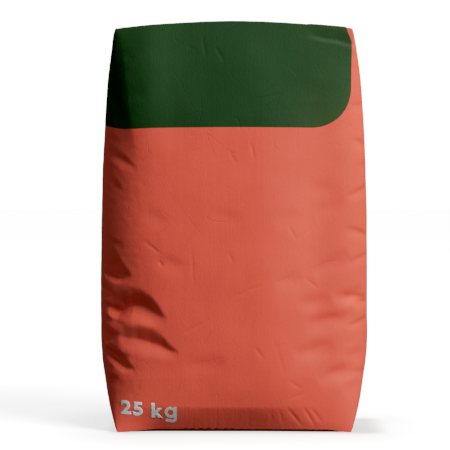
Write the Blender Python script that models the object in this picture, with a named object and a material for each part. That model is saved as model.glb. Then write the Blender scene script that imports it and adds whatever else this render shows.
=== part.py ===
"""A 25 kg cement bag: a filled paper valve sack with pasted block ends, standing upright.

Metres, +Z up. The printed front faces -Y. The origin is on the floor, under the middle of the sack.
"""

import bpy
import numpy as np

# Driving dimensions
TUBE_WIDTH = 0.420  # the empty paper tube laid flat, so that its girth is twice this
END_DEPTH = 0.100  # the pasted block end, front to back
END_WIDTH = TUBE_WIDTH - END_DEPTH  # the block end, side to side
BELLY_WIDTH = 0.369  # the widest place, side to side
BELLY_DEPTH = 0.128  # the deepest place, front to back
CORNER_HEIGHT = 0.5500  # floor to the corners of the top end
TOP_CROWN = 0.0103  # how far the fill lifts the middle of the top's long edges over its corners
CROWN_POWER = 1.75  # a parabola would be 2, so this one is a little peaked
CROWN_RISE = 6  # the rows below the top rise with it, by this power of their share of the height
TOP_DIP = 0.0025  # and how far the middle of the top face lies under those edges
END_BOW = 0.0035  # how far the fill pushes out the middle of an end's long edges

# How the section turns from the square end to the belly
TOP_FADE = 0.098  # the end's width is left by e over this length below the top
BOTTOM_FADE = 0.135  # and the belly's is reached at this height above the floor
# On each narrow side, creases from an end's corners meet this far from the end
TOP_TRIANGLE = 0.100
BOTTOM_TRIANGLE = 0.072
# Powers of the belly's curve, along X and along Y. The fill has slumped towards +X, so that side is
# round, and the -X side is flatter in front and pinched at its edge.
PINCHED_SIDE = (2.6, 1.5)
ROUND_SIDE = (1.9, 2.2)
CURVE_POINTS = 400  # in each quarter of a section, for measuring its length
SQUARENESS_RANGE = (0.3, 60.0)  # those powers are multiplied by a number between these
HALVINGS = 40  # of that range, to find it

CURL_DEPTH = 0.0088  # the long edges of the bottom are drawn in by this much under the fill
CURL_HEIGHT = 0.032  # and come out again over this height
CURL_POWER = 1.2  # by this power of the height that is left
CURL_LENGTHS = (0.060, 0.150)  # towards the bottom's -X and +X corners it fades over these

# Pasted paper pieces
PAPER = 0.0008  # a cover sheet with its paste
GAP = 0.0003  # kept between neighbouring solids
FOLD_MARGIN = 0.008  # the end's edge that the cover sheets leave bare
EDGE_LIFT = 0.003  # the middle of the bottom's long edges stands off the floor
EAR_LENGTHS = (0.060, 0.035)  # and droops to it at the -X and +X corners, over these

# The valve sleeve lies flat between the top end and its cover sheet, on the +X side
SLEEVE_SPAN = (0.107, 0.158)  # from its inner end to its mouth, along X
SLEEVE_WIDTH = 0.074
SLEEVE_RAMP = 0.012  # the cover sheet climbs over the sleeve's inner end along this length

# The mesh
LONG_FACES = 22
NARROW_FACES = 8
ROWS = 26
ROW_CROWDING = 0.6  # 0 spaces the rows evenly, and near 1 the first and last are very low
CLOSEST_LINES = 0.003  # a sheet drops a line of the end that is closer than this to its own
SHARP_EDGE = np.radians(40)

CORAL_INK = (0.61, 0.10, 0.06, 1.0)
BROWN_KRAFT = (0.42, 0.28, 0.16, 1.0)

HALF_LONG = END_WIDTH / 2
HALF_NARROW = END_DEPTH / 2
SEAT = PAPER + GAP  # the bottom end lies on its cover sheet


def clear_scene():
    for obj in list(bpy.data.objects):
        bpy.data.objects.remove(obj)


def paper_material(name, colour, roughness):
    material = bpy.data.materials.new(name)
    material.use_nodes = True
    shader = material.node_tree.nodes["Principled BSDF"]
    shader.inputs["Base Color"].default_value = colour
    shader.inputs["Roughness"].default_value = roughness
    shader.inputs["Metallic"].default_value = 0.0
    return material


def smooth_step(value):
    value = np.clip(value, 0.0, 1.0)
    return value * value * (3.0 - 2.0 * value)


def stops(half, faces):
    """Places across an end edge, from -half to half, with one line on each fold margin."""
    inner = half - FOLD_MARGIN
    return np.concatenate([[-half], np.linspace(-inner, inner, faces - 1), [half]])


def roundness(height):
    """0 where the sack is as wide as its ends, 1 where it is as wide as the belly."""
    from_top = 1 - np.exp(-(CORNER_HEIGHT - height) / TOP_FADE)
    from_bottom = 1 - np.clip(1 - height / BOTTOM_FADE, 0.0, 1.0) ** 2
    return from_top * from_bottom


def flat_side(height):
    """Half of the narrow side that still lies flat between the creases from the end's corners."""
    share = min(height / BOTTOM_TRIANGLE, (CORNER_HEIGHT - height) / TOP_TRIANGLE, 1.0)
    return HALF_NARROW * (1 - share)


def half_section(half_width, flat, half_depth, squareness):
    """Half of a section, from the middle of the +X side to the middle of the -X side."""
    turn = np.linspace(0.0, np.pi / 2, CURVE_POINTS)
    quarters = []
    for power_x, power_y in (ROUND_SIDE, PINCHED_SIDE):
        x = half_width * np.cos(turn) ** (2.0 / (power_x * squareness))
        y = flat + (half_depth - flat) * np.sin(turn) ** (2.0 / (power_y * squareness))
        quarters.append((x, y))
    (right_x, right_y), (left_x, left_y) = quarters
    x = np.concatenate([[half_width], right_x, -left_x[::-1], [-half_width]])
    y = np.concatenate([[0.0], right_y, left_y[::-1], [0.0]])
    along = np.concatenate([[0.0], np.cumsum(np.hypot(np.diff(x), np.diff(y)))])
    return x, y, along


def section(height, places):
    """Where the threads lie at a height, from their places round the girth.

    Paper doesn't stretch, so each section is as square as its girth asks at its width and depth.
    """
    grown = roundness(height)
    half_width = HALF_LONG + grown * (BELLY_WIDTH / 2 - HALF_LONG)
    half_depth = HALF_NARROW + grown * (BELLY_DEPTH / 2 - HALF_NARROW)
    flat = flat_side(height)
    low, high = SQUARENESS_RANGE
    for _ in range(HALVINGS):
        squareness = (low + high) / 2
        x, y, along = half_section(half_width, flat, half_depth, squareness)
        low, high = (low, squareness) if along[-1] > TUBE_WIDTH else (squareness, high)
    on_back = places <= TUBE_WIDTH
    folded = np.where(on_back, places, 2 * TUBE_WIDTH - places)
    return np.interp(folded, along, x), np.where(on_back, 1, -1) * np.interp(folded, along, y)


def bow(x, y):
    """How far the fill pushes an end's place out along Y, most in the middle of a long edge."""
    u, w = x / HALF_LONG, y / HALF_NARROW
    return w * END_BOW * (1 - u * u)


def top_plan(x, y):
    return x, y + bow(x, y)


def top_height(x, y):
    u, w = np.abs(x) / HALF_LONG, y / HALF_NARROW
    return CORNER_HEIGHT + TOP_CROWN * (1 - u**CROWN_POWER) - TOP_DIP * (1 - u * u) * (1 - w * w)


def from_corners(x, lengths):
    """0 at the corners of the bottom end, and 1 past these lengths from the -X and the +X ones."""
    left, right = lengths
    return smooth_step((HALF_LONG + x) / left) * smooth_step((HALF_LONG - x) / right)


def bottom_height(x, y):
    """Flat over the cover sheet, lifted along the middle of the long edges, and down at the ears."""
    past_margin = smooth_step((np.abs(y) - HALF_NARROW + FOLD_MARGIN) / FOLD_MARGIN)
    edge = GAP + (EDGE_LIFT + SEAT - GAP) * from_corners(x, EAR_LENGTHS)
    return SEAT + past_margin * (edge - SEAT)


def curl(x, y, height):
    """How far a place on the sack is drawn in, towards Y = 0, just over the bottom's long edges."""
    down = np.clip(1 - height / CURL_HEIGHT, 0.0, 1.0)
    return CURL_DEPTH * down**CURL_POWER * from_corners(x, CURL_LENGTHS) * y / HALF_NARROW


def ring_places():
    """The paper threads around the sack: where each meets the square end, going round from +X."""
    long_edge, narrow_edge = stops(HALF_LONG, LONG_FACES), stops(HALF_NARROW, NARROW_FACES)
    right = [(HALF_LONG, y) for y in narrow_edge[:-1]]
    back = [(x, HALF_NARROW) for x in long_edge[:0:-1]]
    left = [(-HALF_LONG, y) for y in narrow_edge[:0:-1]]
    front = [(x, -HALF_NARROW) for x in long_edge[:-1]]
    return np.array(right + back + left + front)


def girth_places(ends):
    """How far round the girth each thread is from the middle of the +X side."""
    steps = np.linalg.norm(np.diff(ends, axis=0), axis=1)
    places = np.concatenate([[0.0], np.cumsum(steps)]) - HALF_NARROW
    return np.mod(places, 2 * TUBE_WIDTH)


def row_shares():
    """Heights of the rows as shares of the sack's own, closer together near both ends."""
    even = np.linspace(0.0, 1.0, ROWS + 1)
    return even - ROW_CROWDING * np.sin(2 * np.pi * even) / (2 * np.pi)


def bottom_plan(x, y):
    """The bottom end is also drawn in along its long edges."""
    return x, y + bow(x, y) - curl(x, y, 0.0)


def mesh_object(name, points, faces, material):
    mesh = bpy.data.meshes.new(name)
    mesh.from_pydata([tuple(p) for p in points], [], faces)
    mesh.shade_smooth()
    mesh.set_sharp_from_angle(angle=SHARP_EDGE)
    mesh.materials.append(material)
    obj = bpy.data.objects.new(name, mesh)
    bpy.context.collection.objects.link(obj)
    return obj


def sack_points_and_faces():
    """A box whose four sides are rows of threads, closed by a grid over each block end."""
    ends = ring_places()
    end_x, end_y = ends[:, 0], ends[:, 1]
    places = girth_places(ends)
    low, high = bottom_height(end_x, end_y), top_height(end_x, end_y)
    count = len(ends)

    points = []
    for share in row_shares():
        height = CORNER_HEIGHT * share
        x, y = section(height, places)
        y += bow(end_x, end_y) * (1 - roundness(height)) - curl(end_x, end_y, height)
        z = low + share * (CORNER_HEIGHT - low) + share**CROWN_RISE * (high - CORNER_HEIGHT)
        points += list(zip(x, y, z))

    faces = []
    for row in range(ROWS):
        for i in range(count):
            j = (i + 1) % count
            a, b = row * count, (row + 1) * count
            faces.append((a + i, a + j, b + j, b + i))

    long_edge, narrow_edge = stops(HALF_LONG, LONG_FACES), stops(HALF_NARROW, NARROW_FACES)
    on_ring = {tuple(np.round(place, 6)): i for i, place in enumerate(ends)}
    bottom = 0, bottom_plan, bottom_height, False
    top = ROWS * count, top_plan, top_height, True
    for ring_start, plan_at, height_at, upward in (bottom, top):
        grid = {}
        for i, x in enumerate(long_edge):
            for j, y in enumerate(narrow_edge):
                ring_index = on_ring.get(tuple(np.round((x, y), 6)))
                if ring_index is None:
                    grid[i, j] = len(points)
                    points.append((*plan_at(x, y), height_at(x, y)))
                else:
                    grid[i, j] = ring_start + ring_index
        for i in range(LONG_FACES):
            for j in range(NARROW_FACES):
                face = (grid[i, j], grid[i + 1, j], grid[i + 1, j + 1], grid[i, j + 1])
                faces.append(face if upward else face[::-1])
    return points, faces


def sheet_lines(span, end_lines, needed=()):
    """The end's own lines inside a span, giving way to the span's ends and the lines it needs."""
    fixed = sorted({*span, *needed})
    inside = [line for line in end_lines if span[0] < line < span[1]]
    spare = [line for line in inside if min(abs(line - own) for own in fixed) > CLOSEST_LINES]
    return sorted(fixed + spare)


def sheet_object(name, span_x, span_y, plan_at, underside, material, needed=()):
    """A sheet of paper of PAPER thickness on an end's plan, with its underside at a height over it."""
    x_lines = sheet_lines(span_x, stops(HALF_LONG, LONG_FACES), needed)
    y_lines = sheet_lines(span_y, stops(HALF_NARROW, NARROW_FACES))
    across = len(y_lines)
    layer = len(x_lines) * across
    points = []
    for thickness in (0.0, PAPER):
        for x in x_lines:
            for y in y_lines:
                points.append((*plan_at(x, y), underside(x, y) + thickness))

    def at(i, j, top):
        return i * across + j + (layer if top else 0)

    faces = []
    for i in range(len(x_lines) - 1):
        for j in range(across - 1):
            square = ((i, j), (i + 1, j), (i + 1, j + 1), (i, j + 1))
            faces.append(tuple(at(*corner, True) for corner in square))
            faces.append(tuple(at(*corner, False) for corner in square[::-1]))
    rim = [(i, 0) for i in range(len(x_lines) - 1)]
    rim += [(len(x_lines) - 1, j) for j in range(across - 1)]
    rim += [(i, across - 1) for i in range(len(x_lines) - 1, 0, -1)]
    rim += [(0, j) for j in range(across - 1, 0, -1)]
    for here, after in zip(rim, rim[1:] + rim[:1]):
        faces.append((at(*here, False), at(*after, False), at(*after, True), at(*here, True)))
    return mesh_object(name, points, faces, material)


def over_the_sleeve(x, y):
    """The top cover sheet's underside: on the end, and one sleeve higher past the sleeve's end."""
    climb = smooth_step((x - SLEEVE_SPAN[0] + SLEEVE_RAMP) / SLEEVE_RAMP)
    return top_height(x, y) + GAP + climb * (PAPER + GAP)


def main():
    clear_scene()
    printed = paper_material("printed_paper", CORAL_INK, 0.55)
    kraft = paper_material("brown_kraft", BROWN_KRAFT, 0.75)

    mesh_object("sack", *sack_points_and_faces(), printed)

    sheet_x = HALF_LONG - FOLD_MARGIN
    sheet_y = HALF_NARROW - FOLD_MARGIN
    cover = (-sheet_x, sheet_x), (-sheet_y, sheet_y)
    ramp = SLEEVE_SPAN[0] - SLEEVE_RAMP, SLEEVE_SPAN[0]
    sheet_object("bottom_cover_sheet", *cover, bottom_plan, lambda x, y: 0.0, kraft)
    sheet_object("top_cover_sheet", *cover, top_plan, over_the_sleeve, kraft, needed=ramp)

    sleeve = SLEEVE_SPAN, (-SLEEVE_WIDTH / 2, SLEEVE_WIDTH / 2)
    sheet_object("valve_sleeve", *sleeve, top_plan, lambda x, y: top_height(x, y) + GAP, kraft)


main()
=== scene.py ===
"""A filled cement bag: printed paper sack, pasted cover sheets and valve sleeve, on a pale floor.

Metres, +Z up, with the printed front facing -Y. Places on the sack are given in the paper's own
lengths: `across` runs round the girth from the middle of the front, positive towards +X, and `up` runs
from the bottom end to the top end.
"""

import math

import bmesh
import bpy
import numpy as np
from mathutils import Matrix, Vector, noise


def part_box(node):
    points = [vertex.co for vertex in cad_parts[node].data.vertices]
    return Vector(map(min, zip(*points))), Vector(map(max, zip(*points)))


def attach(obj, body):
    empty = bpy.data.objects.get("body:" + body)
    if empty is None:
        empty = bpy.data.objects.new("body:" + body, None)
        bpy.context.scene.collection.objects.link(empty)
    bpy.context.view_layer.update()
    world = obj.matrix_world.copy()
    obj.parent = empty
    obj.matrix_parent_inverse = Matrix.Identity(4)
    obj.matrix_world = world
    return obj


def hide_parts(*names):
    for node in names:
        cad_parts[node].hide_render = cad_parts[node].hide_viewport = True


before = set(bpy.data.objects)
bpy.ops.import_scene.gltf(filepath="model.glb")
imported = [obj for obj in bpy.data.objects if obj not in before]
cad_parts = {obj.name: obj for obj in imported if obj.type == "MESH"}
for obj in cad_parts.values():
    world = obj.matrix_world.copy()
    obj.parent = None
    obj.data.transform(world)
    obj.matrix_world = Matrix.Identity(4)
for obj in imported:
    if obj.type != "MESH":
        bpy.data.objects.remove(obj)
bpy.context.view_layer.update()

MM = 0.001

# The paper tube and its ends, as the solids have them
TUBE_WIDTH = 0.420
END_DEPTH = 0.100
END_WIDTH = TUBE_WIDTH - END_DEPTH
BELLY_WIDTH = 0.369
BELLY_DEPTH = 0.128
CORNER_HEIGHT = 0.5500
TOP_CROWN = 0.0103
CROWN_POWER = 1.75
CROWN_RISE = 6
TOP_DIP = 0.0025
END_BOW = 0.0035
TOP_FADE = 0.098
BOTTOM_FADE = 0.135
TOP_TRIANGLE = 0.100
BOTTOM_TRIANGLE = 0.072
CURL_DEPTH = 0.0088
CURL_HEIGHT = 0.032
CURL_POWER = 1.2
CURL_LENGTHS = (0.060, 0.150)
FOLD_MARGIN = 0.008
EDGE_LIFT = 0.003
EAR_LENGTHS = (0.060, 0.035)
SLEEVE_THICKNESS = 0.0008
GAP = 0.0003
SLEEVE_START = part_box("valve_sleeve")[0].x
SLEEVE_RAMP = 0.012
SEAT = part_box("bottom_cover_sheet")[1].z + GAP
HALF_LONG = END_WIDTH / 2
HALF_NARROW = END_DEPTH / 2

# Powers of the belly's curve, along X and along Y, on its -X and +X sides
PINCHED_SIDE = (2.6, 1.5)
ROUND_SIDE = (1.9, 2.2)
CURVE_POINTS = 1500
SQUARENESS_RANGE = (0.3, 60.0)
HALVINGS = 30

# Faces of the fine mesh, along an end's long and narrow edges and up the sack: 1.7 mm each way
LONG_FACES = 192
NARROW_FACES = 60
ROWS = 330
THREADS = 2 * (LONG_FACES + NARROW_FACES)
THREAD_STEP = 2 * TUBE_WIDTH / THREADS
SHARP_EDGE = math.radians(50)

# Folds of the slack paper, from their -X end to their +X end. A station is, in mm of paper: across, the
# top of the upper wall, the valley, the foot of the lower wall, and the depth.
FOLDS = {
    "under the shoulder": [
        (-209, 306, 228, 217, 0),
        (-203, 302, 226, 215, 4.5),
        (-195, 294, 222, 210, 8),
        (-184, 276, 218, 204, 10),
        (-172, 255, 215, 201, 9.5),
        (-160, 238, 214, 201, 6),
        (-151, 226, 215, 205, 3),
        (-144, 219, 215, 209, 0),
    ],
    "beside the shoulder": [
        (-205, 208, 196, 182, 0),
        (-197, 206, 192, 178, 4.5),
        (-188, 202, 189, 177, 5),
        (-180, 197, 188, 179, 3),
        (-173, 192, 188, 182, 0),
    ],
    "deepest": [
        (-187, 178, 168, 154, 0),
        (-182, 185, 165, 149, 3.5),
        (-176, 192, 163, 146, 8),
        (-169, 196, 163, 144, 10.5),
        (-160, 199, 168, 143, 11.5),
        (-145, 200, 173, 145, 11),
        (-130, 198, 171, 144, 10.5),
        (-117, 191, 165, 140, 8),
        (-108, 180, 160, 138, 4.5),
        (-99, 165, 156, 138, 1.5),
        (-93, 160, 155, 139, 0),
    ],
    "beside the edge": [
        (-210, 152, 140, 126, 0),
        (-200, 152, 132, 119, 5),
        (-190, 149, 128, 116, 7),
        (-180, 144, 129, 118, 5.5),
        (-171, 139, 132, 122, 2),
        (-164, 136, 133, 126, 0),
    ],
    "long lower": [
        (-166, 137, 131, 114, 0),
        (-157, 143, 129, 108, 2.5),
        (-136, 149, 127, 102, 5.5),
        (-117, 145, 121, 97, 6.2),
        (-99, 133, 115, 95, 4.6),
        (-86, 119, 109, 95, 2.2),
        (-76, 111, 107, 97, 0),
    ],
    "short slanting": [
        (-192, 120, 112, 100, 0),
        (-182, 123, 105, 92, 4.5),
        (-168, 117, 97, 83, 6.5),
        (-154, 106, 90, 78, 4.5),
        (-144, 94, 87, 77, 1.5),
        (-137, 88, 84, 76, 0),
    ],
    "lowest": [
        (-202, 84, 76, 64, 0),
        (-192, 85, 69, 58, 5),
        (-182, 83, 67, 57, 6.5),
        (-172, 79, 70, 61, 3.5),
        (-162, 77, 74, 68, 0),
    ],
    "under the header": [
        (-188, 398, 388, 376, 0),
        (-175, 394, 383, 368, 1.8),
        (-155, 384, 372, 356, 2.4),
        (-134, 367, 360, 350, 0),
    ],
    "below that": [
        (-198, 362, 354, 342, 0),
        (-182, 359, 347, 334, 2),
        (-168, 350, 338, 326, 2),
        (-155, 336, 330, 322, 0),
    ],
}

# A stroke is, in mm of paper: across and up of one end, across and up of the other, and the depth. A
# negative depth stands out. A pair of walls is how wide a stroke is, in mm, to its left and its right.
SOFT_WRINKLES = [
    (108, 214, 158, 245, 2.4),
    (52, 203, 94, 210, 1.5),
    (136, 180, 186, 193, 3.2),
    (84, 172, 132, 181, 2.1),
    (96, 143, 172, 161, 3.2),
    (78, 103, 138, 118, 2.7),
    (152, 98, 184, 111, 2.2),
    (114, 68, 172, 91, 4.0),
    (148, 54, 180, 68, 1.4),
    (-112, 238, -62, 222, 1.1),
    (-126, 300, -90, 284, 0.9),
    (52, 282, 86, 302, 0.9),
    (108, 296, 158, 318, 1.2),
    (-150, 452, -118, 470, 0.8),
    (-70, 86, -14, 98, 1.2),
    (96, 336, 150, 326, 0.8),
    (-40, 300, 14, 288, 0.7),
]
SOFT_WALLS = (17, 24)
BROAD_FORMS = [(46, 10, 42, 500, -2.8), (112, 10, 118, 480, 5.8), (-120, 350, -114, 640, -4.5)]
BROAD_WALLS = (60, 60)
CROWN = (10, -80, 10, 640, -4.5)  # the front stands out most along its middle
CROWN_WALLS = (130, 130)
CROWN_MARGIN = 60  # the crown fades away over this, in mm, towards each end
CORNER_RIDGE = (-133, 370, -156, 556, -4.2)  # from the top corner down, where the -X side turns away
RIDGE_WALLS = (24, 60)
HAIRLINES = [
    (-70, 133, -34, 155, 0.6),
    (-4, 183, 38, 203, 0.6),
    (26, 117, 39, 98, 0.7),
    (50, 134, 70, 70, 0.4),
    (-59, 251, -56, 199, 0.5),
    (-9, 246, -3, 229, 0.6),
    (69, 287, 85, 259, 0.6),
    (85, 259, 110, 284, 0.5),
    (-127, 263, -98, 240, 0.7),
    (-104, 234, -98, 224, 0.9),
    (72, 42, 99, 53, 0.6),
    (70, 70, 93, 56, 0.6),
    (-43, 534, -39, 503, 0.6),
    (-27, 521, -14, 498, 0.6),
    (-8, 384, 3, 362, 0.6),
    (20, 397, 27, 368, 0.6),
    (69, 34, 94, 3, 1.0),
    (93, 33, 111, 3, 1.0),
    (102, 33, 121, 8, 0.8),
    (60, 30, 66, 8, 0.5),
    (50, 32, 51, 6, 0.3),
    (92, 213, 116, 194, 0.8),
    (152, 117, 158, 129, 0.6),
    (157, 117, 163, 129, 0.6),
    (162, 117, 168, 129, 0.6),
]
HAIRLINE_WALLS = (3.2, 3.2)
CORNER_CREASES = [(86, 537, 128, 533, 0.4), (98, 537, 172, 527, 1.5)]  # these catch the light, at +X
CREASE_WALLS = (16, 6)
BUCKLE_WALLS = (8, 15)  # on the narrow sides and the back
BUCKLE_MARGIN = (8, 24)  # in mm from the narrow side's own crease: where they start, and are whole
BUCKLE_LEVELS = range(85, 470, 21)
BACK_BUCKLES = 34
PLEAT_PLACES = range(-70, 96, 9)

# Noise over the paper, as its size in mm, its seed, and its height in mm
DENTS = [(75, 2, 0.9), (30, 3, 0.22), (11, 5, 0.07)]
DENT_MARGIN = 40  # they fade away over this, in mm, towards each end
SLACK_DENTS = (9, 8, 0.25)
SLACK_SIDE = (-235, -215, -145, -105)  # where the paper is slack, in mm across, and its two margins
WANDER = (22, 1, 1.6)  # how folds and soft wrinkles waver
JITTER = (8, 6, 0.9)  # and how thin creases do

TRIANGLE_CREASE = 0.0006  # how far the creases from an end's corners stand out on the narrow sides
TRIANGLE_CREASE_WIDTH = 0.0024
TRIANGLE_SINK = 0.0012  # how far the flat between them sinks
TRIANGLE_SLOPE = 0.012  # and how wide its slope is
SIDE_CREASE = 0.0005  # the flat tube's own crease, down the middle of each narrow side
SIDE_CREASE_WIDTH = 0.0022
SEAM_WIDTH = 0.030  # the paper's glued overlap, which ends in a step down the middle of the back
SEAM_STEP = 0.0006
FLAP_OVERLAP = 0.007  # the long flaps of an end lap over its middle by this much on each side
FLAP_STEP = 0.0004  # what one more fold of paper lifts the cover sheet by
SHEET_THICKNESS = 0.0003  # the cover sheet as it looks, thinner than its solid
LIP = 0.0009  # the top's long edges stand up by this much beside the sleeve
LIP_REACH = 0.014


def smooth_step(value):
    value = np.clip(value, 0.0, 1.0)
    return value * value * (3.0 - 2.0 * value)


def plateau(value, start, full, still, stop):
    """1 from full to still, falling smoothly to 0 at start and at stop."""
    return smooth_step((value - start) / (full - start)) * smooth_step((stop - value) / (stop - still))


def roundness(height):
    """0 where the sack is as wide as its ends, 1 where it is as wide as the belly."""
    from_top = 1 - np.exp(-(CORNER_HEIGHT - height) / TOP_FADE)
    from_bottom = 1 - np.clip(1 - height / BOTTOM_FADE, 0.0, 1.0) ** 2
    return from_top * from_bottom


def flat_side(height):
    """Half of the narrow side that still lies flat between the creases from the end's corners."""
    share = min(height / BOTTOM_TRIANGLE, (CORNER_HEIGHT - height) / TOP_TRIANGLE, 1.0)
    return HALF_NARROW * (1 - share)


def half_section(half_width, flat, half_depth, squareness):
    """Half of a section, from the middle of the +X side to the middle of the -X side."""
    turn = np.linspace(0.0, np.pi / 2, CURVE_POINTS)
    quarters = []
    for power_x, power_y in (ROUND_SIDE, PINCHED_SIDE):
        x = half_width * np.cos(turn) ** (2.0 / (power_x * squareness))
        y = flat + (half_depth - flat) * np.sin(turn) ** (2.0 / (power_y * squareness))
        quarters.append((x, y))
    (right_x, right_y), (left_x, left_y) = quarters
    x = np.concatenate([[half_width], right_x, -left_x[::-1], [-half_width]])
    y = np.concatenate([[0.0], right_y, left_y[::-1], [0.0]])
    along = np.concatenate([[0.0], np.cumsum(np.hypot(np.diff(x), np.diff(y)))])
    return x, y, along


def section(height, places):
    """Where the threads lie at a height, from their places round the girth.

    Paper doesn't stretch, so each section is as square as its girth asks at its width and depth.
    """
    grown = roundness(height)
    half_width = HALF_LONG + grown * (BELLY_WIDTH / 2 - HALF_LONG)
    half_depth = HALF_NARROW + grown * (BELLY_DEPTH / 2 - HALF_NARROW)
    flat = flat_side(height)
    low, high = SQUARENESS_RANGE
    for _ in range(HALVINGS):
        squareness = (low + high) / 2
        x, y, along = half_section(half_width, flat, half_depth, squareness)
        low, high = (low, squareness) if along[-1] > TUBE_WIDTH else (squareness, high)
    on_back = places <= TUBE_WIDTH
    folded = np.where(on_back, places, 2 * TUBE_WIDTH - places)
    return np.interp(folded, along, x), np.where(on_back, 1, -1) * np.interp(folded, along, y)


def bow(x, y):
    """How far the fill pushes an end's place out along Y, most in the middle of a long edge."""
    u, w = x / HALF_LONG, y / HALF_NARROW
    return w * END_BOW * (1 - u * u)


def from_corners(x, lengths):
    """0 at the corners of the bottom end, and 1 past these lengths from the -X and the +X ones."""
    left, right = lengths
    return smooth_step((HALF_LONG + x) / left) * smooth_step((HALF_LONG - x) / right)


def curl(x, y, height):
    """How far a place on the sack is drawn in, towards Y = 0, just over the bottom's long edges."""
    down = np.clip(1 - height / CURL_HEIGHT, 0.0, 1.0)
    return CURL_DEPTH * down**CURL_POWER * from_corners(x, CURL_LENGTHS) * y / HALF_NARROW


def top_plan(x, y):
    return x, y + bow(x, y)


def bottom_plan(x, y):
    """The bottom end is also drawn in along its long edges."""
    return x, y + bow(x, y) - curl(x, y, 0.0)


def top_height(x, y):
    u, w = np.abs(x) / HALF_LONG, y / HALF_NARROW
    return CORNER_HEIGHT + TOP_CROWN * (1 - u**CROWN_POWER) - TOP_DIP * (1 - u * u) * (1 - w * w)


def bottom_height(x, y):
    """Flat over the cover sheet, lifted along the middle of the long edges, and down at the ears."""
    past_margin = smooth_step((np.abs(y) - HALF_NARROW + FOLD_MARGIN) / FOLD_MARGIN)
    edge = GAP + (EDGE_LIFT + SEAT - GAP) * from_corners(x, EAR_LENGTHS)
    return SEAT + past_margin * (edge - SEAT)


def end_edges():
    long_edge = np.linspace(-HALF_LONG, HALF_LONG, LONG_FACES + 1)
    narrow_edge = np.linspace(-HALF_NARROW, HALF_NARROW, NARROW_FACES + 1)
    return long_edge, narrow_edge


def ring_places():
    """Where each paper thread meets the square end, going round from the front corner at +X."""
    long_edge, narrow_edge = end_edges()
    right = [(HALF_LONG, y) for y in narrow_edge[:-1]]
    back = [(x, HALF_NARROW) for x in long_edge[:0:-1]]
    left = [(-HALF_LONG, y) for y in narrow_edge[:0:-1]]
    front = [(x, -HALF_NARROW) for x in long_edge[:-1]]
    return np.array(right + back + left + front)


def smooth_tube(ends):
    """The tube before it is crumpled, as an array of rows, threads and coordinates."""
    end_x, end_y = ends.T
    steps = np.linalg.norm(np.diff(ends, axis=0), axis=1)
    places = np.mod(np.concatenate([[0.0], np.cumsum(steps)]) - HALF_NARROW, 2 * TUBE_WIDTH)
    low, high = bottom_height(end_x, end_y), top_height(end_x, end_y)
    tube = np.zeros((ROWS + 1, THREADS, 3))
    for row, share in enumerate(np.linspace(0.0, 1.0, ROWS + 1)):
        height = CORNER_HEIGHT * share
        x, y = section(height, places)
        y += bow(end_x, end_y) * (1 - roundness(height)) - curl(end_x, end_y, height)
        z = low + share * (CORNER_HEIGHT - low) + share**CROWN_RISE * (high - CORNER_HEIGHT)
        tube[row] = np.column_stack([x, y, z])
    return tube


def thread_lengths():
    """How far round the girth each thread is from the middle of the front, along the paper."""
    along = np.arange(THREADS) * THREAD_STEP + HALF_LONG
    return np.mod(along + TUBE_WIDTH, 2 * TUBE_WIDTH) - TUBE_WIDTH


def lumps(across, up, kind):
    """Smooth noise over the paper, that joins up all round the girth. kind is its size, seed and height."""
    size, seed, height = kind
    radius = TUBE_WIDTH / math.pi
    turn = across / radius
    places = np.stack([radius * np.cos(turn), radius * np.sin(turn), up], axis=-1) / (size * MM)
    flat = places.reshape(-1, 3) + 17.3 * seed
    values = np.array([noise.noise(place) for place in flat.tolist()])
    return height * MM * values.reshape(across.shape)


def wall(share):
    """The depth over a fold's wall: 1 at the crisp valley, and flowing into the face at 1."""
    share = np.clip(share, 0.0, 1.0)
    return (1 - share) ** 2 * (1 + share)


def bell(share):
    return np.exp(-4 * share * share)


def fold_depth(across, up, stations):
    at, top, valley, foot, depth = np.array(stations, float).T * MM
    top, valley, foot, depth = (np.interp(across, at, v) for v in (top, valley, foot, depth))
    upper = (up - valley) / (top - valley)
    lower = (valley - up) / (valley - foot)
    return depth * wall(np.where(up > valley, upper, lower))


def stroke_depth(across, up, stroke, walls, profile):
    """A short straight wrinkle that runs out at both of its ends."""
    x0, y0, x1, y1, depth = (value * MM for value in stroke)
    length = math.hypot(x1 - x0, y1 - y0)
    along = ((across - x0) * (x1 - x0) + (up - y0) * (y1 - y0)) / length**2
    side = ((up - y0) * (x1 - x0) - (across - x0) * (y1 - y0)) / length
    taper = np.sin(np.pi * np.clip(along, 0.0, 1.0))
    width = np.where(side > 0, walls[0], walls[1]) * MM
    return depth * taper * profile(np.abs(side) / width)


def round_the_girth(across):
    """A place across the paper, in mm, brought back to the range round the front's middle."""
    width = TUBE_WIDTH / MM
    return across - 2 * width if across > width else across


def side_buckles(seed):
    """Buckles across both narrow sides, and a few on the back, as the fill has shaken down."""
    rng = np.random.default_rng(seed)
    width = TUBE_WIDTH / MM
    strokes = []
    for middle in (-width / 2, width / 2):
        for level in BUCKLE_LEVELS:
            reach = rng.uniform(16, 34)
            tilt = rng.uniform(-0.35, 0.35)
            across = middle + rng.choice((-1, 1)) * rng.uniform(16, 34)
            up = level + rng.uniform(-8, 8)
            depth = rng.uniform(0.8, 2.6)
            strokes.append((across - reach, up - tilt * reach, across + reach, up + tilt * reach, depth))
    for _ in range(BACK_BUCKLES):
        reach, tilt = rng.uniform(12, 42), rng.uniform(-1.2, 1.2)
        across = round_the_girth(width + rng.uniform(-150, 150))
        up = rng.uniform(50, 500)
        depth = rng.uniform(0.4, 1.3)
        strokes.append((across - reach, up - tilt * reach, across + reach, up + tilt * reach, depth))
    return strokes


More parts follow.
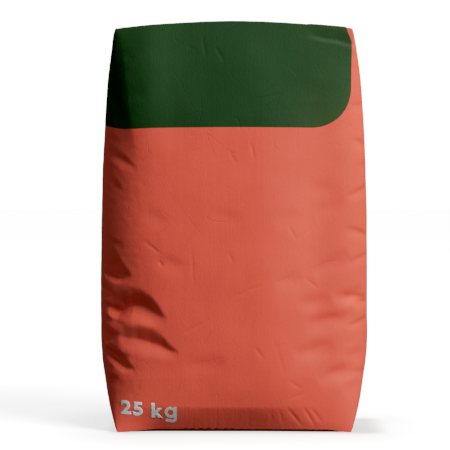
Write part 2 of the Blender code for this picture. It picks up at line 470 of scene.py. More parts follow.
def bottom_pleats(seed):
    """Narrow upright pleats where the paper turns under, front and back."""
    rng = np.random.default_rng(seed)
    strokes = []
    for middle in (0, TUBE_WIDTH / MM):
        for place in PLEAT_PLACES:
            across = round_the_girth(middle + place + rng.uniform(-4, 4))
            height = rng.uniform(12, 30)
            lean = rng.uniform(-4, 4)
            strokes.append((across, -height, across + lean, height, rng.uniform(0.04, 0.18)))
    return strokes


def end_triangles(across, up):
    """The creases from an end's corners that meet on the narrow sides, and the flat between them."""
    from_side = np.abs(np.abs(across) - TUBE_WIDTH / 2)
    change = np.zeros_like(across)
    for from_end, height in ((up, BOTTOM_TRIANGLE), (CORNER_HEIGHT - up, TOP_TRIANGLE)):
        edge = HALF_NARROW * (1 - from_end / height)
        off_line = (from_side - edge) * height / math.hypot(height, HALF_NARROW)
        present = plateau(from_end, 0, 6 * MM, height - 17 * MM, height + 8 * MM)
        change += present * TRIANGLE_CREASE * np.exp(-((off_line / TRIANGLE_CREASE_WIDTH) ** 2))
        change -= present * TRIANGLE_SINK * smooth_step(-off_line / TRIANGLE_SLOPE)
    return change


def strokes_depth(across, up, strokes, walls, profile):
    return sum(stroke_depth(across, up, stroke, walls, profile) for stroke in strokes)


def between_ends(up, margin):
    """1 all over the tube, but for a margin in mm at each end, where it falls to 0."""
    return plateau(up, 0, margin * MM, CORNER_HEIGHT - margin * MM, CORNER_HEIGHT)


def relief(across, up):
    """How far each place on the paper stands out from the smooth sack."""
    from_side = np.abs(np.abs(across) - TUBE_WIDTH / 2)
    wavering = up + lumps(across, up, WANDER)
    jitter = lumps(across, up, JITTER)
    thin = HAIRLINES + bottom_pleats(seed=9)

    depth = sum(fold_depth(across, wavering, stations) for stations in FOLDS.values())
    depth += strokes_depth(across, wavering, SOFT_WRINKLES, SOFT_WALLS, bell)
    depth += strokes_depth(across, up, BROAD_FORMS, BROAD_WALLS, bell)
    depth += strokes_depth(across, wavering, CORNER_CREASES, CREASE_WALLS, wall)
    depth += strokes_depth(across, wavering, [CORNER_RIDGE], RIDGE_WALLS, wall)
    depth += strokes_depth(across + jitter, up - jitter, thin, HAIRLINE_WALLS, wall)
    depth += between_ends(up, CROWN_MARGIN) * strokes_depth(across, up, [CROWN], CROWN_WALLS, bell)
    start, full = BUCKLE_MARGIN
    off_crease = smooth_step((from_side - start * MM) / ((full - start) * MM))
    depth += off_crease * strokes_depth(across, wavering, side_buckles(seed=4), BUCKLE_WALLS, bell)

    height = end_triangles(across, up)
    height += SIDE_CREASE * np.exp(-((from_side / SIDE_CREASE_WIDTH) ** 2))
    height += SEAM_STEP * smooth_step((across - TUBE_WIDTH + SEAM_WIDTH) / SEAM_WIDTH)
    dents = sum(lumps(across, up, kind) for kind in DENTS)
    dents += plateau(across / MM, *SLACK_SIDE) * lumps(across, up, SLACK_DENTS)
    return height + between_ends(up, DENT_MARGIN) * dents - depth


def end_relief(x, y):
    """How far the folds in the top end, and the paste, lift it and the cover sheet that is stuck on."""
    from_end, from_edge = HALF_LONG - abs(x), HALF_NARROW - abs(y)
    overlap = smooth_step((FLAP_OVERLAP - abs(y)) / (3 * MM))
    corner_fold = smooth_step((from_edge - from_end) / (4 * MM))
    cockle = noise.noise((x / 0.024, y / 0.016, 3.7)) + 0.4 * noise.noise((x / 0.009, y / 0.008, 9.1))
    inside = smooth_step(min(from_end, from_edge) / (9 * MM))
    return inside * (FLAP_STEP * (overlap + corner_fold) + 0.5 * FLAP_STEP * (1 + cockle))


def dressed_top(x, y):
    return top_height(x, y) + end_relief(x, y)


def outward(tube):
    """The unit normal at each of the tube's points."""
    round_it = np.roll(tube, -1, axis=1) - np.roll(tube, 1, axis=1)
    up_it = np.gradient(tube, axis=0)
    normal = np.cross(round_it, up_it)
    return normal / np.linalg.norm(normal, axis=-1, keepdims=True)


def crumpled(tube, across):
    """The tube's points with the relief, and with the lip beside the sleeve."""
    up = np.linspace(0.0, CORNER_HEIGHT, ROWS + 1)[:, None] + 0 * across
    around = across + 0 * up
    shaped = tube + outward(tube) * relief(around, up)[..., None]
    beside_sleeve = smooth_step((tube[..., 0] - SLEEVE_START + SLEEVE_RAMP) / SLEEVE_RAMP)
    off_corner = smooth_step((HALF_LONG - tube[..., 0]) / SLEEVE_RAMP)
    near_rim = smooth_step((up - CORNER_HEIGHT + LIP_REACH) / LIP_REACH)
    shaped[..., 2] += LIP * near_rim * beside_sleeve * off_corner
    shaped[..., 2] = np.maximum(shaped[..., 2], GAP)
    return shaped


def tube_faces():
    faces = []
    for row in range(ROWS):
        for i in range(THREADS):
            j = (i + 1) % THREADS
            a, b = row * THREADS, (row + 1) * THREADS
            faces.append((a + i, a + j, b + j, b + i))
    return faces


def end_grid(ends, ring_start, first_free, plan_at, height_at, upward):
    """The points and faces of one block end, which shares its rim with a row of the tube."""
    long_edge, narrow_edge = end_edges()
    on_ring = {tuple(np.round(place, 6)): i for i, place in enumerate(ends)}
    points, flat, grid = [], [], {}
    for i, x in enumerate(long_edge):
        for j, y in enumerate(narrow_edge):
            ring_index = on_ring.get(tuple(np.round((x, y), 6)))
            if ring_index is None:
                grid[i, j] = first_free + len(points)
                points.append((*plan_at(x, y), height_at(x, y)))
                flat.append((x, y))
            else:
                grid[i, j] = ring_start + ring_index
    faces = []
    for i in range(LONG_FACES):
        for j in range(NARROW_FACES):
            face = (grid[i, j], grid[i + 1, j], grid[i + 1, j + 1], grid[i, j + 1])
            faces.append(face if upward else face[::-1])
    return points, flat, faces


def paper_lengths(mesh, points, flat, across):
    """Adds the UV map "paper": each corner's across and up, in metres, and past the tube on the ends."""
    up = np.linspace(0.0, CORNER_HEIGHT, ROWS + 1)
    left = np.tile(across, ROWS)
    right = left + THREAD_STEP
    low, high = np.repeat(up[:-1], THREADS), np.repeat(up[1:], THREADS)
    on_tube = np.stack([left, low, right, low, right, high, left, high], axis=1).reshape(-1, 2)

    vertices = np.zeros(len(mesh.loops), int)
    mesh.loops.foreach_get("vertex_index", vertices)
    vertices = vertices[len(on_tube) :]
    x, y = flat[vertices].T
    inward = HALF_NARROW - np.abs(y)
    on_top = points[vertices, 2] > CORNER_HEIGHT / 2
    on_ends = np.column_stack([x, np.where(on_top, CORNER_HEIGHT + inward, -inward)])
    mesh.uv_layers.new(name="paper").data.foreach_set("uv", np.concatenate([on_tube, on_ends]).ravel())


def sack_mesh(name):
    """The whole sack as one closed mesh: the crumpled tube and its two block ends."""
    ends = ring_places()
    across = thread_lengths()
    tube = crumpled(smooth_tube(ends), across).reshape(-1, 3)
    last_row = ROWS * THREADS
    bottom_points, bottom_flat, bottom_faces = end_grid(
        ends, 0, len(tube), bottom_plan, bottom_height, upward=False
    )
    after_bottom = len(tube) + len(bottom_points)
    top_points, top_flat, top_faces = end_grid(
        ends, last_row, after_bottom, top_plan, dressed_top, upward=True
    )
    points = np.concatenate([tube, bottom_points, top_points])
    obj = mesh_object(name, points, tube_faces() + bottom_faces + top_faces)

    flat = np.zeros((len(points), 2))
    flat[:THREADS] = ends
    flat[last_row : last_row + THREADS] = ends
    flat[len(tube) :] = bottom_flat + top_flat
    paper_lengths(obj.data, points, flat, across)
    return obj


def over_the_sleeve(x, y):
    """The cover sheet's underside: on the end, and one sleeve higher past the sleeve's inner end."""
    climb = smooth_step((x - SLEEVE_START + SLEEVE_RAMP) / SLEEVE_RAMP)
    return dressed_top(x, y) + GAP + climb * (SLEEVE_THICKNESS + GAP)


def cover_sheet(name, faces_x, faces_y):
    """The sheet pasted over the top end, inside its fold margins."""
    half_x, half_y = HALF_LONG - FOLD_MARGIN, HALF_NARROW - FOLD_MARGIN
    points, faces = [], []
    for thickness in (0.0, SHEET_THICKNESS):
        for x in np.linspace(-half_x, half_x, faces_x + 1):
            for y in np.linspace(-half_y, half_y, faces_y + 1):
                points.append((*top_plan(x, y), over_the_sleeve(x, y) + thickness))
    row = faces_y + 1
    layer = row * (faces_x + 1)
    for i in range(faces_x):
        for j in range(faces_y):
            square = (i * row + j, (i + 1) * row + j, (i + 1) * row + j + 1, i * row + j + 1)
            faces.append(tuple(corner + layer for corner in square))
            faces.append(square[::-1])
    rim = [i * row for i in range(faces_x)]
    rim += [faces_x * row + j for j in range(faces_y)]
    rim += [i * row + faces_y for i in range(faces_x, 0, -1)]
    rim += range(faces_y, 0, -1)
    for here, after in zip(rim, rim[1:] + rim[:1]):
        faces.append((here, after, after + layer, here + layer))
    return mesh_object(name, points, faces)


def mesh_object(name, points, faces):
    mesh = bpy.data.meshes.new(name)
    mesh.from_pydata([tuple(map(float, point)) for point in points], [], faces)
    mesh.shade_smooth()
    mesh.set_sharp_from_angle(angle=SHARP_EDGE)
    obj = bpy.data.objects.new(name, mesh)
    bpy.context.collection.objects.link(obj)
    return obj


def linear(hex_colour):
    """An sRGB colour such as "c8553d" as linear red, green, blue and alpha."""
    values = [int(hex_colour[i : i + 2], 16) / 255 for i in (0, 2, 4)]
    return [v / 12.92 if v <= 0.04045 else ((v + 0.055) / 1.055) ** 2.4 for v in values] + [1.0]


def add_node(tree, kind, links=None, inputs=None, **settings):
    """Adds a node. links names its inputs' sources, and inputs gives its inputs' own values."""
    node = tree.nodes.new(kind)
    for key, value in settings.items():
        setattr(node, key, value)
    for key, value in (inputs or {}).items():
        node.inputs[key].default_value = value
    for key, source in (links or {}).items():
        tree.links.new(source, node.inputs[key])
    return node


def new_material(name):
    material = bpy.data.materials.new(name)
    material.use_nodes = True
    return material, material.node_tree, material.node_tree.nodes["Principled BSDF"]


# The print: a green header over a coral ground
CORAL = "dc5c4a"
GREEN = "213d20"
HIGHLIT_GREEN = "304225"  # a paler, warmer green painted low on the header's +X side, a painted highlight where the key light falls
RUBBED = "d8a493"  # where the ink has worn off a fold, down to the bleached ply
HEADER_BOTTOM = 0.4141
HEADER_SIDE_MARGIN = 0.0507
HEADER_CORNER = 0.055
HEADER_RISE = (0.005, 0.065)  # its lower edge is drawn up at the -X side: how far, over what length
HEADER_LEAN = (0.007, 0.020)  # and its side leans away from the +X side at the top, likewise


def drawn_out(tree, places, width, length, detail=2.0):
    """Noise in patches about this many mm wide, and this long along the places' second coordinate."""
    stretched = add_node(
        tree,
        "ShaderNodeMapping",
        links={0: places},
        inputs={"Scale": (1000 / width, 1000 / length, 1000 / width)},
    )
    patches = add_node(
        tree,
        "ShaderNodeTexNoise",
        links={"Vector": stretched.outputs[0]},
        inputs={"Scale": 1.0, "Detail": detail},
    )
    return patches.outputs[0]


def ranged(tree, value, low, high, start=0.3, stop=0.7):
    """Turns start..stop of a value into low..high, smoothly."""
    return add_node(
        tree,
        "ShaderNodeMapRange",
        interpolation_type="SMOOTHSTEP",
        links={0: value},
        inputs={1: start, 2: stop, 3: low, 4: high},
    ).outputs[0]


def product(tree, *values):
    result = values[0]
    for value in values[1:]:
        node = add_node(tree, "ShaderNodeMath", operation="MULTIPLY", links={0: result, 1: value})
        result = node.outputs[0]
    return result


def total(tree, *values):
    result = values[0]
    for value in values[1:]:
        result = add_node(tree, "ShaderNodeMath", operation="ADD", links={0: result, 1: value}).outputs[0]
    return result


def shaded(tree, colour, factor):
    """A colour times a number."""
    grey = add_node(tree, "ShaderNodeCombineColor", links={0: factor, 1: factor, 2: factor})
    mix = add_node(
        tree,
        "ShaderNodeMix",
        data_type="RGBA",
        blend_type="MULTIPLY",
        links={6: colour, 7: grey.outputs[0]},
    )
    mix.inputs[0].default_value = 1.0
    return mix.outputs[2]


def header_mask(tree, across, up):
    """1 on the green header, which wraps the -X side and has one round corner on the front."""
    from_side = add_node(
        tree, "ShaderNodeMath", operation="SUBTRACT", links={0: across}, inputs={1: TUBE_WIDTH / 2}
    )
    wrapped = add_node(
        tree,
        "ShaderNodeMath",
        operation="WRAP",
        links={0: from_side.outputs[0]},
        inputs={1: TUBE_WIDTH, 2: -TUBE_WIDTH},
    )
    distance = add_node(tree, "ShaderNodeMath", operation="ABSOLUTE", links={0: wrapped.outputs[0]})
    rise, rise_length = HEADER_RISE
    lean, lean_length = HEADER_LEAN
    side = ranged(
        tree,
        up,
        HEADER_SIDE_MARGIN + HEADER_CORNER,
        HEADER_SIDE_MARGIN + HEADER_CORNER + lean,
        CORNER_HEIGHT - lean_length,
        CORNER_HEIGHT,
    )
    foot = ranged(
        tree,
        distance.outputs[0],
        HEADER_BOTTOM + HEADER_CORNER,
        HEADER_BOTTOM + HEADER_CORNER + rise,
        TUBE_WIDTH - rise_length,
        TUBE_WIDTH,
    )
    short_x = add_node(
        tree, "ShaderNodeMath", operation="SUBTRACT", links={0: side, 1: distance.outputs[0]}
    )
    short_y = add_node(tree, "ShaderNodeMath", operation="SUBTRACT", links={0: foot, 1: up})
    corner = add_node(
        tree, "ShaderNodeCombineXYZ", links={0: short_x.outputs[0], 1: short_y.outputs[0]}
    )
    clipped = add_node(
        tree,
        "ShaderNodeVectorMath",
        operation="MAXIMUM",
        links={0: corner.outputs[0]},
        inputs={1: (0, 0, 0)},
    )
    reach = add_node(tree, "ShaderNodeVectorMath", operation="LENGTH", links={0: clipped.outputs[0]})
    return ranged(
        tree, reach.outputs["Value"], 1.0, 0.0, HEADER_CORNER - 0.4 * MM, HEADER_CORNER + 0.4 * MM
    )


def creases(tree, places, degrees):
    """1 along the middle of long fine crease lines that lean from upright by an angle, and 0 off them."""
    turned = add_node(
        tree,
        "ShaderNodeMapping",
        links={0: places},
        inputs={"Rotation": (0, 0, math.radians(degrees))},
    ).outputs[0]
    swell = drawn_out(tree, turned, 26, 150, 0.0)
    line = product(
        tree, ranged(tree, swell, 0.0, 1.0, 0.488, 0.5), ranged(tree, swell, 1.0, 0.0, 0.5, 0.512)
    )
    some = ranged(tree, drawn_out(tree, turned, 40, 60, 1.0), 0.0, 1.0, 0.52, 0.66)
    return product(tree, line, some)


def printed_paper():
    """Sack kraft, printed in two flat inks on its machine-finished side.

    The eye gets a thin, faintly shiny film of ink over long fibres that all run up the sack. It is a
    little uneven from place to place, finely creased, and rubbed pale along the ends' folds. Painted shade
    darkens it a little along its fine creases, and a painted highlight makes the header's green paler and
    warmer low on its +X side.
    """
    material, tree, shader = new_material("printed_sack_kraft")
    places = add_node(tree, "ShaderNodeUVMap", uv_map="paper").outputs[0]
    lengths = add_node(tree, "ShaderNodeSeparateXYZ", links={0: places})
    across, up = lengths.outputs[0], lengths.outputs[1]

    # painted highlight: the header's green turns paler and warmer low on its +X side, where the light falls
    painted_highlight = product(
        tree, ranged(tree, across, 0.0, 1.0, 0.04, 0.14), ranged(tree, up, 1.0, 0.25, 0.435, 0.485)
    )
    green = add_node(tree, "ShaderNodeMix", data_type="RGBA", links={0: painted_highlight})
    green.inputs[6].default_value = linear(GREEN)
    green.inputs[7].default_value = linear(HIGHLIT_GREEN)
    ink = add_node(
        tree,
        "ShaderNodeMix",
        data_type="RGBA",
        links={0: header_mask(tree, across, up), 7: green.outputs[2]},
    )
    ink.inputs[6].default_value = linear(CORAL)

    # Real fibres are 0.03 mm thick. They are drawn 2 mm wide, and 45 mm long, to show at all.
    fibres = drawn_out(tree, places, 2.0, 45.0)
    bands = drawn_out(tree, places, 9.0, 260.0, 1.0)
    clouds = drawn_out(tree, places, 70.0, 90.0, 3.0)
    lines = total(tree, *(creases(tree, places, lean) for lean in (-38, 24, 68)))
    tone_and_crease_shade = product(
        tree,
        ranged(tree, fibres, 0.985, 1.015),
        ranged(tree, bands, 0.992, 1.008),
        ranged(tree, clouds, 0.95, 1.05),
        # painted shade: 5% darker along the fine crease lines
        ranged(tree, lines, 1.0, 0.95, 0.0, 1.0),
    )
    even_ink = shaded(tree, ink.outputs[2], tone_and_crease_shade)

    middle = add_node(
        tree, "ShaderNodeMath", operation="SUBTRACT", links={0: up}, inputs={1: CORNER_HEIGHT / 2}
    )
    from_middle = add_node(tree, "ShaderNodeMath", operation="ABSOLUTE", links={0: middle.outputs[0]})
    from_fold = add_node(
        tree,
        "ShaderNodeMath",
        operation="SUBTRACT",
        links={0: from_middle.outputs[0]},
        inputs={1: CORNER_HEIGHT / 2},
    )
    off_fold = add_node(tree, "ShaderNodeMath", operation="ABSOLUTE", links={0: from_fold.outputs[0]})
    on_fold = ranged(tree, off_fold.outputs[0], 1.0, 0.0, 0.0, 1.6 * MM)
    patchy = ranged(tree, drawn_out(tree, places, 3.0, 3.0, 4.0), 0.0, 0.25, 0.45, 0.65)
    worn = add_node(
        tree,
        "ShaderNodeMix",
        data_type="RGBA",
        links={0: product(tree, on_fold, patchy), 6: even_ink},
    )
    worn.inputs[7].default_value = linear(RUBBED)
    tree.links.new(worn.outputs[2], shader.inputs["Base Color"])

    tree.links.new(ranged(tree, clouds, 0.56, 0.66), shader.inputs["Roughness"])
    shader.inputs["Specular IOR Level"].default_value = 0.16

    # Heights in metres
    pulp = drawn_out(tree, places, 2.6, 5.0, 3.0)
    height = total(
        tree,
        ranged(tree, pulp, 0.0, 0.10 * MM, 0.2, 0.8),
        ranged(tree, fibres, 0.0, 0.03 * MM, 0.2, 0.8),
        ranged(tree, bands, 0.0, 0.05 * MM, 0.2, 0.8),
        ranged(tree, lines, 0.0, -0.14 * MM, 0.0, 1.0),
    )
    bump = add_node(tree, "ShaderNodeBump", links={"Height": height}, inputs={"Distance": 1.0})
    tree.links.new(bump.outputs[0], shader.inputs["Normal"])
    return material


DARK_FIBRE = "9b7248"
PALE_FIBRE = "bb9566"


def brown_kraft():
    """Unbleached sack kraft, as it comes off the paper machine, stuck down with starch paste.

    The eye gets matt brown with paler and darker fibres along the sheet, and cockles from the paste.
    """
    material, tree, shader = new_material("unbleached_kraft")
    places = add_node(tree, "ShaderNodeTexCoord").outputs["Object"]
    turned = add_node(
        tree, "ShaderNodeMapping", links={0: places}, inputs={"Rotation": (0, 0, math.radians(90))}
    ).outputs[0]
    # Its fibres are also drawn far coarser than real ones, 1.4 mm wide and 18 mm long, to show.
    fibres = drawn_out(tree, turned, 1.4, 18.0, 4.0)
    clouds = drawn_out(tree, turned, 28.0, 40.0, 3.0)
    cockles = drawn_out(tree, turned, 16.0, 34.0, 1.0)
    brown = add_node(
        tree, "ShaderNodeMix", data_type="RGBA", links={0: ranged(tree, fibres, 0.0, 1.0, 0.3, 0.7)}
    )
    brown.inputs[6].default_value = linear(DARK_FIBRE)
    brown.inputs[7].default_value = linear(PALE_FIBRE)
    tree.links.new(
        shaded(tree, brown.outputs[2], ranged(tree, clouds, 0.88, 1.08)), shader.inputs["Base Color"]
    )
    tree.links.new(ranged(tree, fibres, 0.74, 0.9), shader.inputs["Roughness"])
    shader.inputs["Specular IOR Level"].default_value = 0.3
    height = total(
        tree,
        ranged(tree, fibres, 0.0, 0.08 * MM, 0.2, 0.8),
        ranged(tree, cockles, 0.0, 0.45 * MM, 0.2, 0.8),
    )
    bump = add_node(tree, "ShaderNodeBump", links={"Height": height}, inputs={"Distance": 1.0})
    tree.links.new(bump.outputs[0], shader.inputs["Normal"])
    return material


# The net weight, in plain letters low on the front. A letter's box is in mm: its left side and its foot,
# from those of the first one, its width and its height.
WEIGHT = {
    "2": (0.0, 0.0, 14.4, 19.2),
    "5": (16.7, -1.9, 13.9, 19.3),
    "k": (42.1, -5.1, 16.4, 21.3),
    "g": (60.4, -11.2, 16.7, 22.6),
}
WEIGHT_COLOUR = "cdd2cd"
WEIGHT_STROKE = 4.0  # mm
WEIGHT_BOLDER = 0.045  # the figures' outlines stand out by this share of their body
WEIGHT_CORNER = (-0.1553, -0.5, 0.0252)  # the first letter's left foot, well in front of the sack
WEIGHT_LEAN = 0.05  # the letters fall by this share of the way across, as the sack's corner does
WEIGHT_EDGE = 0.0015  # the longest edge of their mesh, short enough to follow the paper
FILM = 0.0001  # the ink stands this far off the paper, and is this thick


def print_film():
    """White ink in a thin film: a little translucent, so that it is greyer than the bleached paper."""
    material, tree, shader = new_material("white_flexo_ink")
    places = add_node(tree, "ShaderNodeTexCoord").outputs["Object"]
    mottle = ranged(tree, drawn_out(tree, places, 3.0, 3.0, 3.0), 0.86, 1.04)
    colour = add_node(tree, "ShaderNodeRGB")
    colour.outputs[0].default_value = linear(WEIGHT_COLOUR)
    tree.links.new(shaded(tree, colour.outputs[0], mottle), shader.inputs["Base Color"])
    shader.inputs["Roughness"].default_value = 0.55
    shader.inputs["Specular IOR Level"].default_value = 0.3
    return material


def laying_tree():
    """Nodes that lay a flat shape, upright in front of the sack, on to its face as a film of ink."""
    tree = bpy.data.node_groups.new("lay_on_the_face", "GeometryNodeTree")
    sockets = tree.interface
    sockets.new_socket("Shape", in_out="INPUT", socket_type="NodeSocketGeometry")
    sockets.new_socket("Sack", in_out="INPUT", socket_type="NodeSocketObject")
    sockets.new_socket("Film", in_out="INPUT", socket_type="NodeSocketFloat")
    sockets.new_socket("Ink", in_out="INPUT", socket_type="NodeSocketMaterial")
    sockets.new_socket("Print", in_out="OUTPUT", socket_type="NodeSocketGeometry")
    given = add_node(tree, "NodeGroupInput").outputs
    sack = add_node(
        tree, "GeometryNodeObjectInfo", links={"Object": given["Sack"]}, transform_space="RELATIVE"
    )
    onto = add_node(
        tree,
        "GeometryNodeRaycast",
        links={"Target Geometry": sack.outputs["Geometry"]},
        inputs={"Ray Direction": (0, 1, 0), "Ray Length": 1.0},
    )
    off_face = add_node(
        tree,
        "ShaderNodeVectorMath",
        operation="SCALE",
        links={0: onto.outputs["Hit Normal"], "Scale": given["Film"]},
    )
    place = add_node(
        tree,
        "ShaderNodeVectorMath",
        operation="ADD",
        links={0: onto.outputs["Hit Position"], 1: off_face.outputs[0]},
    )
    laid = add_node(
        tree,
        "GeometryNodeSetPosition",
        links={"Geometry": given["Shape"], "Position": place.outputs[0]},
    )
    raised = add_node(
        tree,
        "GeometryNodeExtrudeMesh",
        links={"Mesh": laid.outputs[0], "Offset Scale": given["Film"]},
    )
    raised.inputs["Individual"].default_value = False
    under = add_node(tree, "GeometryNodeFlipFaces", links={"Mesh": laid.outputs[0]})
    both = add_node(tree, "GeometryNodeJoinGeometry")
    tree.links.new(raised.outputs["Mesh"], both.inputs[0])
    tree.links.new(under.outputs[0], both.inputs[0])
    closed = add_node(
        tree,
        "GeometryNodeMergeByDistance",
        links={"Geometry": both.outputs[0]},
        inputs={"Distance": 0.000001},
    )
    real = add_node(tree, "GeometryNodeRealizeInstances", links={0: closed.outputs[0]})
    inked = add_node(
        tree, "GeometryNodeSetMaterial", links={"Geometry": real.outputs[0], "Material": given["Ink"]}
    )
    add_node(tree, "NodeGroupOutput", links={0: inked.outputs[0]})
    return tree


def as_mesh(obj, name):
    """A plain mesh object in the place of one that is a curve or has modifiers."""
    bpy.context.view_layer.update()
    mesh = bpy.data.meshes.new_from_object(obj.evaluated_get(bpy.context.evaluated_depsgraph_get()))
    plain = bpy.data.objects.new(name, mesh)
    bpy.context.collection.objects.link(plain)
    bpy.data.objects.remove(obj)
    return plain


def font_letter(text):
    """A figure or letter as a flat mesh."""
    letters = bpy.data.curves.new("letters", "FONT")
    letters.body = text
    letters.offset = WEIGHT_BOLDER
    letters.resolution_u = 6
    obj = bpy.data.objects.new("letters", letters)
    bpy.context.collection.objects.link(obj)
    plain = as_mesh(obj, "flat_letter")
    mesh = plain.data
    bpy.data.objects.remove(plain)
    return mesh


def one_storey_g():
    """A g as a flat mesh, in mm: a round bowl, cut off straight by a stem that ends in a hook."""
    width, height = WEIGHT["g"][2:]
    half = WEIGHT_STROKE / 2
    bowl_radius, bowl_middle = 8.0, 14.5
    hook_radius, hook_end = 4.4, (1.2, 3.2)
    cut = width - WEIGHT_STROKE - bowl_radius

    turn = np.linspace(0.0, 2 * np.pi, 60, endpoint=False)
    reach = np.minimum(bowl_radius, cut / np.maximum(np.cos(turn), 0.01))
    rings = [reach, np.full_like(turn, bowl_radius - WEIGHT_STROKE)]
    points = [
        (bowl_radius + r * math.cos(t), bowl_middle + r * math.sin(t), 0)
        for ring in rings
        for r, t in zip(ring, turn)
    ]
    count = len(turn)
    faces = [(i, (i + 1) % count, count + (i + 1) % count, count + i) for i in range(count)]

    bend = np.linspace(0.0, np.pi / 2, 12)
    stem = width - half
    foot = stem - hook_radius
    path = [(stem, height), (stem, bowl_middle)]
    path += [(foot + hook_radius * math.cos(t), half + hook_radius * (1 - math.sin(t))) for t in bend]
    path.append(hook_end)
    path = np.array(path)
    ahead = np.gradient(path, axis=0)
    side = np.column_stack([-ahead[:, 1], ahead[:, 0]]) / np.linalg.norm(ahead, axis=1)[:, None] * half
    start = len(points)
    points += [(x, y, 0) for x, y in np.concatenate([path - side, path + side])]
    other = start + len(path)
    faces += [(start + i, start + i + 1, other + i + 1, other + i) for i in range(len(path) - 1)]
    mesh = bpy.data.meshes.new("flat_g")
    mesh.from_pydata(points, [], faces)
    return mesh


def flat_letters():
    """The weight as one flat mesh, whose edges are short enough to follow the paper."""
    fine = bmesh.new()
    for text, (left, foot, width, height) in WEIGHT.items():
        mesh = one_storey_g() if text == "g" else font_letter(text)
        corners = np.array([vertex.co for vertex in mesh.vertices])
        low, high = corners.min(axis=0), corners.max(axis=0)
        shares = (corners - low)[:, :2] / (high - low)[:2]
        across = left + shares[:, 0] * width
        up = foot + shares[:, 1] * height - WEIGHT_LEAN * shares[:, 0] * width
        for vertex, x, y in zip(mesh.vertices, across, up):
            vertex.co = (x * MM, y * MM, 0)
        fine.from_mesh(mesh)
    bmesh.ops.remove_doubles(fine, verts=fine.verts, dist=0.01 * MM)
    bmesh.ops.recalc_face_normals(fine, faces=fine.faces)
    bmesh.ops.triangulate(fine, faces=fine.faces)
    while long_edges := [edge for edge in fine.edges if edge.calc_length() > WEIGHT_EDGE]:
        bmesh.ops.subdivide_edges(fine, edges=long_edges, cuts=1)
        bmesh.ops.triangulate(fine, faces=fine.faces)
    mesh = bpy.data.meshes.new("flat_weight")
    fine.to_mesh(mesh)
    fine.free()
    flat = bpy.data.objects.new("flat_weight", mesh)
    bpy.context.collection.objects.link(flat)
    return flat


def weight_print(sack):
    """The weight's letters, stood up in front of the sack and laid on to its face."""
    flat = flat_letters()
    flat.data.transform(Matrix.Translation(WEIGHT_CORNER) @ Matrix.Rotation(math.radians(90), 4, "X"))
    tree = laying_tree()
    laying = flat.modifiers.new("lay_on_the_face", "NODES")
    laying.node_group = tree
    sockets = {item.name: item.identifier for item in tree.interface.items_tree if item.in_out == "INPUT"}
    laying[sockets["Sack"]] = sack
    laying[sockets["Film"]] = FILM
    laying[sockets["Ink"]] = print_film()
    return as_mesh(flat, "printed_weight")


def camera():
    """A long lens, a little above the middle of the sack, which stands just right of the centre."""
    distance, height = 3.0, 0.456
    aim = Vector((0.0, 0.0, 0.2811))
    lens_data = bpy.data.cameras.new("camera")
    lens_data.lens = 173.9
    lens_data.sensor_width = 36.0
    picture_width, off_centre = 450, 9.15  # pixels
    lens_data.shift_x = -off_centre / picture_width
    lens = bpy.data.objects.new("camera", lens_data)
    lens.location = (0.0, -distance, height)
    lens.rotation_euler = (aim - lens.location).to_track_quat("-Z", "Y").to_euler()
    bpy.context.collection.objects.link(lens)
    bpy.context.scene.camera = lens


def soft_box(name, azimuth, elevation, distance, size, watts):
    """A square area light that faces the sack's middle. Azimuth 0 is in front, and 90 at +X."""
    turn, rise = math.radians(azimuth), math.radians(elevation)
    middle = Vector((0, 0, 0.28))
    data = bpy.data.lights.new(name, "AREA")
    data.size = size
    data.energy = watts
    lamp = bpy.data.objects.new(name, data)
    away = Vector((math.sin(turn) * math.cos(rise), -math.cos(turn) * math.cos(rise), math.sin(rise)))
    lamp.location = middle + away * distance
    lamp.rotation_euler = (-away).to_track_quat("-Z", "Y").to_euler()
    bpy.context.collection.objects.link(lamp)
    return lamp


# A product photograph's tones: deep blacks, and bright colours that turn paler more than brighter.
# The curve's places are shares of the range between the two levels.
BLACK_LEVEL = 0.011
WHITE_LEVEL = 2.0
TONE_CURVE = [(0.09, 0.20), (0.343, 0.61), (0.586, 0.733)]


def studio():
    soft_box("key", azimuth=52, elevation=35, distance=3.0, size=1.4, watts=184)
    soft_box("fill", azimuth=-62, elevation=12, distance=3.0, size=2.4, watts=13)
    back = soft_box("back", azimuth=188, elevation=40, distance=2.4, size=1.6, watts=40)
    back.visible_glossy = False
    world = bpy.data.worlds.new("studio")
    world.use_nodes = True
    tree = world.node_tree
    seen = add_node(tree, "ShaderNodeLightPath")
    fill = tree.nodes["Background"]
    fill.inputs["Color"].default_value = (1, 1, 1, 1)
    fill.inputs["Strength"].default_value = 0.09
    white = add_node(tree, "ShaderNodeBackground", inputs={"Color": (1, 1, 1, 1), "Strength": 2.2})
    mix = add_node(
        tree,
        "ShaderNodeMixShader",
        links={0: seen.outputs["Is Camera Ray"], 1: fill.outputs[0], 2: white.outputs[0]},
    )
    tree.links.new(mix.outputs[0], tree.nodes["World Output"].inputs["Surface"])
    bpy.context.scene.world = world
    view = bpy.context.scene.view_settings
    view.view_transform = "Standard"
    view.gamma = 0.9
    view.use_curve_mapping = True
    tones = view.curve_mapping
    tones.black_level = (BLACK_LEVEL,) * 3
    tones.white_level = (WHITE_LEVEL,) * 3
    for place in TONE_CURVE:
        tones.curves[3].points.new(*place)
    tones.update()


FLOOR_REACH = 6.0
PAINTED_SHADOW_SHIFT = (0.02, 0.011, 0)  # the painted shadow round the base is shifted by this, so it reaches furthest a little behind the +X side
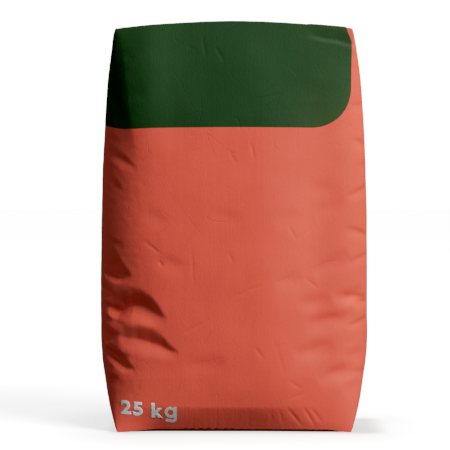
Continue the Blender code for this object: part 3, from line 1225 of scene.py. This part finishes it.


def floor():
    """A pale floor with a glow of its own, as in a light room, dimmed close to the sack as a painted shadow
    round its base.
    """
    corners = [(-FLOOR_REACH, -FLOOR_REACH), (FLOOR_REACH, -FLOOR_REACH)]
    corners += [(FLOOR_REACH, FLOOR_REACH), (-FLOOR_REACH, FLOOR_REACH)]
    obj = mesh_object("floor", [(x, y, 0.0) for x, y in corners], [(0, 1, 2, 3)])
    material, tree, shader = new_material("white_floor")
    shader.inputs["Base Color"].default_value = (0.4, 0.4, 0.4, 1)
    shader.inputs["Roughness"].default_value = 1.0
    shader.inputs["Specular IOR Level"].default_value = 0.0
    shader.inputs["Emission Color"].default_value = (1, 1, 1, 1)
    place = add_node(tree, "ShaderNodeTexCoord")
    distance = add_node(
        tree, "ShaderNodeVectorMath", operation="LENGTH", links={0: place.outputs["Object"]}
    )
    aside = add_node(
        tree,
        "ShaderNodeVectorMath",
        operation="SUBTRACT",
        links={0: place.outputs["Object"]},
        inputs={1: PAINTED_SHADOW_SHIFT},
    )
    mirrored = add_node(
        tree, "ShaderNodeVectorMath", operation="ABSOLUTE", links={0: aside.outputs[0]}
    )
    past_base = add_node(
        tree,
        "ShaderNodeVectorMath",
        operation="SUBTRACT",
        links={0: mirrored.outputs[0]},
        inputs={1: (HALF_LONG, HALF_NARROW, 0)},
    )
    outside = add_node(
        tree,
        "ShaderNodeVectorMath",
        operation="MAXIMUM",
        links={0: past_base.outputs[0]},
        inputs={1: (0, 0, 0)},
    )
    from_base = add_node(
        tree, "ShaderNodeVectorMath", operation="LENGTH", links={0: outside.outputs[0]}
    )
    # painted shadow: the glow is dimmed near the sack's base, and it also grows with distance from the
    # middle
    glow_and_painted_shadow = product(
        tree,
        ranged(tree, distance.outputs["Value"], 1.5, 1.9, 0.25, 1.3),
        ranged(tree, from_base.outputs["Value"], 0.5, 1.0, 0.0, 0.04),
        ranged(tree, from_base.outputs["Value"], 0.82, 1.0, 0.02, 0.17),
    )
    tree.links.new(glow_and_painted_shadow, shader.inputs["Emission Strength"])
    obj.data.materials.append(material)
    obj.visible_diffuse = False
    obj.visible_glossy = False


def main():
    sack = sack_mesh("printed_sack")
    sack.data.materials.append(printed_paper())
    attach(sack, "root")
    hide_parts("sack")

    weight = weight_print(sack)
    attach(weight, "root")

    kraft = brown_kraft()
    cover = cover_sheet("pasted_cover_sheet", faces_x=170, faces_y=56)
    cover.data.materials.append(kraft)
    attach(cover, "root")
    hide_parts("top_cover_sheet")
    for name in ("bottom_cover_sheet", "valve_sleeve"):
        for material_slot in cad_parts[name].material_slots:
            material_slot.material = kraft

    camera()
    studio()
    floor()


main()
